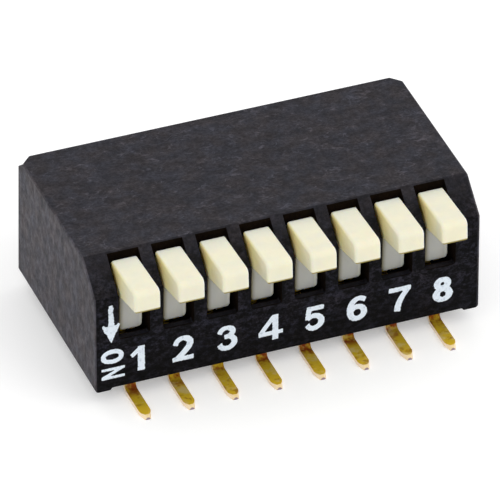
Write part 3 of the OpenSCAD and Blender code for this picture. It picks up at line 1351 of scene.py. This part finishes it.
    def build(self, mark: Mark) -> bpy.types.Object:
        """Builds one sign where it belongs.

        Args:
            mark: The sign.

        Returns:
            Its piece, with its place in its mesh.
        """
        rods = []
        for stroke in mark.strokes:
            bpy.ops.object.select_all(action="DESELECT")
            rods.append(self.draw(stroke))
        for rod in rods:
            rod.select_set(True)
        bpy.context.view_layer.objects.active = rods[0]
        bpy.ops.object.join()
        piece = bpy.context.object
        piece.name = piece.data.name = mark.name
        union = piece.modifiers.new("union", "REMESH")
        union.mode = "VOXEL"
        union.voxel_size = self.grain
        union.use_smooth_shade = True
        bpy.ops.object.modifier_apply(modifier=union.name)
        self.ragged_edges(piece)
        points = [point for stroke in mark.strokes for point in stroke.points]
        middle_z = sum(z for _, z, _ in points) / len(points)
        thickest = max(width for _, _, width in points)
        place, lean = self.face(mark.x * MM, middle_z * MM)
        flat = Matrix.Diagonal((1, 2 * self.film / thickest, 1, 1))
        piece.data.transform(Matrix.Translation((0, 0, -middle_z)))
        piece.data.transform(flat)
        piece.scale = (MM, MM, MM)
        piece.rotation_euler = (-lean, 0, 0)
        piece.location = place
        bpy.ops.object.transform_apply(location=True, rotation=True, scale=True)
        return piece

    def make(self) -> list[bpy.types.Object]:
        """Prints every sign.

        Returns:
            The signs.
        """
        ink = self.ink.material()
        pieces = [self.build(mark) for mark in self.marks()]
        for piece in pieces:
            dress(piece, ink, Slot.COVER)
            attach(piece, self.body)
        return pieces


# ---- The switch's own pieces ----


@dataclass(frozen=True)
class Housing:
    """The cover and the base, which stand still."""

    polyester: HousingPolyester = HousingPolyester()
    polymer: BaseCrystalPolymer = BaseCrystalPolymer()
    slot: SlotShape = SlotShape()

    def make(self) -> list[bpy.types.Object]:
        """Dresses the pieces.

        Returns:
            The cover and the base.
        """
        cover, base = (frame["nodes"][name] for name in ("cover", "base"))
        dress(cover, self.polyester.material(END_X, self.slot), Slot.COVER)
        dress(base, self.polymer.material(), Slot.BASE)
        return [cover, base]


@dataclass(frozen=True)
class Terminals:
    """The two rows of terminals, their feet coined to a point at the tip.

    A terminal has the shape of its CAD solid, less three small slopes at the
    tip: one across the top, and one at each corner.
    """

    tip_height: float = 0.14
    slope_run: float = 0.17
    corner_run: float = 0.42
    corner_turn: float = 40
    corner_lean: float = 28
    smooth_under: float = 30
    exactness: float = 0.0005
    end_reach: float = 0.01
    plate: GoldPlate = GoldPlate("gold_plated_terminals")
    body: str = "housing"

    def cut(self, place: Vector, normal: Vector) -> None:
        """Cuts off what lies beyond a plane, and closes the cut.

        Args:
            place: A point on the plane, in millimetres.
            normal: The direction in which it is cut off.
        """
        bpy.ops.mesh.select_all(action="SELECT")
        bpy.ops.mesh.bisect(
            plane_co=place * MM,
            plane_no=normal,
            use_fill=True,
            clear_outer=True,
            threshold=self.exactness * MM,
        )

    def coined(self, row: str) -> bpy.types.Object:
        """Makes a row's first terminal from a copy of its solid.

        Args:
            row: "front" or "rear".

        Returns:
            The terminal.
        """
        solid = frame["nodes"][f"{row}_terminal_1"]
        piece = bpy.data.objects.new(f"{row}_leg_1", solid.data.copy())
        bpy.context.scene.collection.objects.link(piece)
        bpy.ops.object.select_all(action="DESELECT")
        piece.select_set(True)
        bpy.context.view_layer.objects.active = piece
        bpy.ops.mesh.customdata_custom_splitnormals_clear()
        low, high = (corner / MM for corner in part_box(f"{row}_terminal_1"))
        side = -1 if row == "front" else 1
        tip = low.y if row == "front" else high.y
        middle = (low.x + high.x) / 2
        foot_top = self.foot_top(piece, tip)
        drop = foot_top - self.tip_height
        bpy.ops.object.mode_set(mode="EDIT")
        bpy.ops.mesh.select_all(action="SELECT")
        bpy.ops.mesh.remove_doubles(threshold=self.exactness * MM)
        self.cut(
            Vector((middle, tip, self.tip_height)),
            Vector((0, side * drop, self.slope_run)).normalized(),
        )
        turn, lean = math.radians(self.corner_turn), math.radians(self.corner_lean)
        for hand in (-1, 1):
            self.cut(
                Vector((middle, tip - side * self.corner_run, foot_top))
                + Vector((hand * (high.x - low.x) / 2, 0, 0)),
                Vector(
                    (
                        hand * math.cos(turn) * math.cos(lean),
                        side * math.sin(turn) * math.cos(lean),
                        math.sin(lean),
                    )
                ),
            )
        bpy.ops.object.mode_set(mode="OBJECT")
        bpy.ops.object.shade_smooth_by_angle(angle=math.radians(self.smooth_under))
        return piece

    def foot_top(self, piece: bpy.types.Object, tip: float) -> float:
        """Finds the height of a foot's top at its tip, in millimetres.

        Args:
            piece: The terminal.
            tip: Depth of its tip, in millimetres.

        Returns:
            The height.
        """
        at_tip = (
            v.co.z
            for v in piece.data.vertices
            if abs(v.co.y / MM - tip) < self.end_reach
        )
        return max(at_tip) / MM

    def make(self) -> list[bpy.types.Object]:
        """Builds both rows, and dresses them.

        Returns:
            The terminals.
        """
        plate = self.plate.material(TIP_Y)
        pieces = []
        for row in ("front", "rear"):
            first = self.coined(row)
            for k in range(1, POSITIONS + 1):
                piece = first
                if k > 1:
                    mesh = first.data.copy()
                    mesh.transform(Matrix.Translation(((k - 1) * PITCH * MM, 0, 0)))
                    piece = bpy.data.objects.new(f"{row}_leg_{k}", mesh)
                    bpy.context.scene.collection.objects.link(piece)
                dress(piece, plate, Slot.TERMINAL)
                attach(piece, self.body)
                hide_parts(f"{row}_terminal_{k}")
                pieces.append(piece)
        return pieces


@dataclass(frozen=True)
class Rockers:
    """The eight rockers with their contacts, which tilt."""

    nylon: RockerNylon = RockerNylon()
    shape: RockerShape = RockerShape()
    plate: GoldPlate = GoldPlate("gold_plated_contacts", tarnish="#b88a3c")

    def make(self) -> list[bpy.types.Object]:
        """Dresses the pieces.

        Returns:
            The rockers and their contacts.
        """
        nylon = self.nylon.material(self.shape)
        plate = self.plate.material(TIP_Y)
        pieces = []
        for k in range(1, POSITIONS + 1):
            rocker, contact = (
                frame["nodes"][f"{name}_{k}"] for name in ("rocker", "contact")
            )
            dress(rocker, nylon, Slot.ROCKER)
            dress(contact, plate, Slot.CONTACT)
            pieces += [rocker, contact]
        return pieces


# ---- Studio ----


def seen_directly(tree: bpy.types.NodeTree) -> Socket:
    """Tells what the camera or a gloss sees from light that falls on things.

    Args:
        tree: The tree of a floor or a world.

    Returns:
        1 for what is seen, and 0 for what only lights.
    """
    camera, gloss = (
        add_node(tree, "ShaderNodeLightPath", output=ray)
        for ray in ("Is Camera Ray", "Is Glossy Ray")
    )
    return add_node(tree, "ShaderNodeMath", LARGER, {0: camera, 1: gloss})


def towards(azimuth: float, elevation: float) -> Vector:
    """The direction from the switch to something that looks at it.

    Args:
        azimuth: Its angle round the switch, in degrees: 0 is in front of the
            rockers, and 90 beyond the right end.
        elevation: Its angle above the floor, in degrees.

    Returns:
        The direction, 1 long.
    """
    turn, rise = math.radians(azimuth), math.radians(elevation)
    return Vector(
        (
            math.sin(turn) * math.cos(rise),
            -math.cos(turn) * math.cos(rise),
            math.sin(rise),
        )
    )


@dataclass(frozen=True)
class Softbox:
    """A square soft lamp that faces the switch: degrees, metres and watts."""

    name: str
    azimuth: float
    elevation: float
    distance: float
    size: float
    power: float

    def make(self, aim: Vector) -> None:
        """Hangs the lamp.

        Args:
            aim: The point that it faces.
        """
        back = towards(self.azimuth, self.elevation)
        lamp = bpy.data.lights.new(self.name, "AREA")
        lamp.shape = "SQUARE"
        lamp.size = self.size
        lamp.energy = self.power
        holder = bpy.data.objects.new(self.name, lamp)
        holder.location = aim + back * self.distance
        holder.rotation_euler = back.to_track_quat("Z", "Y").to_euler()
        bpy.context.scene.collection.objects.link(holder)


@dataclass(frozen=True)
class Studio:
    """A pale floor, soft light and the camera.

    The floor's size is in metres, the camera's place and lens in millimetres, and
    angles in degrees.
    """

    floor_size: float = 3.0
    paper: str = "#f2f2f2"
    paper_glow: float = 0.3
    room: str = "#ffffff"
    room_glow: float = 0.9
    lamps: tuple[Softbox, ...] = (
        Softbox(
            "window", azimuth=40, elevation=45, distance=0.8, size=0.5, power=0.9
        ),
    )
    azimuth: float = -22.1908
    elevation: float = 36.4071
    roll: float = 1.0452
    distance: float = 491.26
    aim: Triple = (0.168, 0.201, 3.386)
    sensor: float = 36.0
    lens: float = 648.0
    clip: Pair = (0.01, 20)

    def axes(self) -> tuple[Vector, Vector, Vector]:
        """The camera's right, its up, and the direction from the switch to it."""
        back = towards(self.azimuth, self.elevation)
        turn, roll = math.radians(self.azimuth), math.radians(self.roll)
        level = Vector((math.cos(turn), math.sin(turn), 0))
        upright = back.cross(level)
        right = math.cos(roll) * level + math.sin(roll) * upright
        return right, back.cross(right), back

    def camera(self) -> None:
        """Sets up the camera, for a square frame."""
        right, up, back = self.axes()
        eye = (Vector(self.aim) + back * self.distance) * MM
        data = bpy.data.cameras.new("camera")
        data.sensor_width = self.sensor
        data.lens = self.lens
        data.clip_start, data.clip_end = self.clip
        holder = bpy.data.objects.new("camera", data)
        turned = Matrix((right, up, back)).transposed().to_4x4()
        holder.matrix_world = Matrix.Translation(eye) @ turned
        bpy.context.scene.collection.objects.link(holder)
        bpy.context.scene.camera = holder

    def floor(self) -> None:
        """Lays the floor, matt and near white, with the switch's soft shadow on it."""
        bpy.ops.mesh.primitive_plane_add(size=self.floor_size, location=(0, 0, 0))
        sheet = bpy.context.object
        sheet.name = "floor"
        material = bpy.data.materials.new("white_paper")
        material.use_nodes = True
        tree = material.node_tree
        tree.nodes.clear()
        add = partial(add_node, tree)
        paper = add("ShaderNodeBsdfDiffuse", inputs={"Color": linear(self.paper)})
        seen = seen_directly(tree)
        lift = add("ShaderNodeMath", TIMES, {0: seen, 1: self.paper_glow})
        glow = add("ShaderNodeEmission", inputs={"Strength": lift})
        total = add("ShaderNodeAddShader", inputs={0: paper, 1: glow})
        add("ShaderNodeOutputMaterial", inputs={"Surface": total})
        sheet.data.materials.append(material)

    def world(self) -> None:
        """Lights the room evenly, and shows it white to the camera."""
        world = bpy.data.worlds.new("room")
        bpy.context.scene.world = world
        world.use_nodes = True
        tree = world.node_tree
        tree.nodes.clear()
        add = partial(add_node, tree)
        seen = seen_directly(tree)
        level = add(
            "ShaderNodeMix", None, {"Factor": seen, "A": self.room_glow, "B": 1.0}
        )
        shine = add(
            "ShaderNodeBackground",
            inputs={"Color": linear(self.room), "Strength": level},
        )
        add("ShaderNodeOutputWorld", inputs={"Surface": shine})

    def make(self) -> None:
        """Sets up floor, light and camera."""
        self.floor()
        self.world()
        aim = Vector(self.aim) * MM
        for lamp in self.lamps:
            lamp.make(aim)
        self.camera()
        scene = bpy.context.scene
        scene.view_settings.view_transform = "Standard"


def main() -> None:
    """Builds the whole scene."""
    logging.basicConfig(level=logging.INFO, format="%(message)s", stream=sys.stdout)
    bpy.ops.object.select_all(action="DESELECT")
    Studio().make()
    log.info("studio: floor, room, lamp and camera")
    for assembly in (Housing(), Terminals(), Rockers(), Print()):
        for piece in assembly.make():
            log.info("%s: %d faces", piece.name, len(piece.data.polygons))


if __name__ == "__main__":
    main()
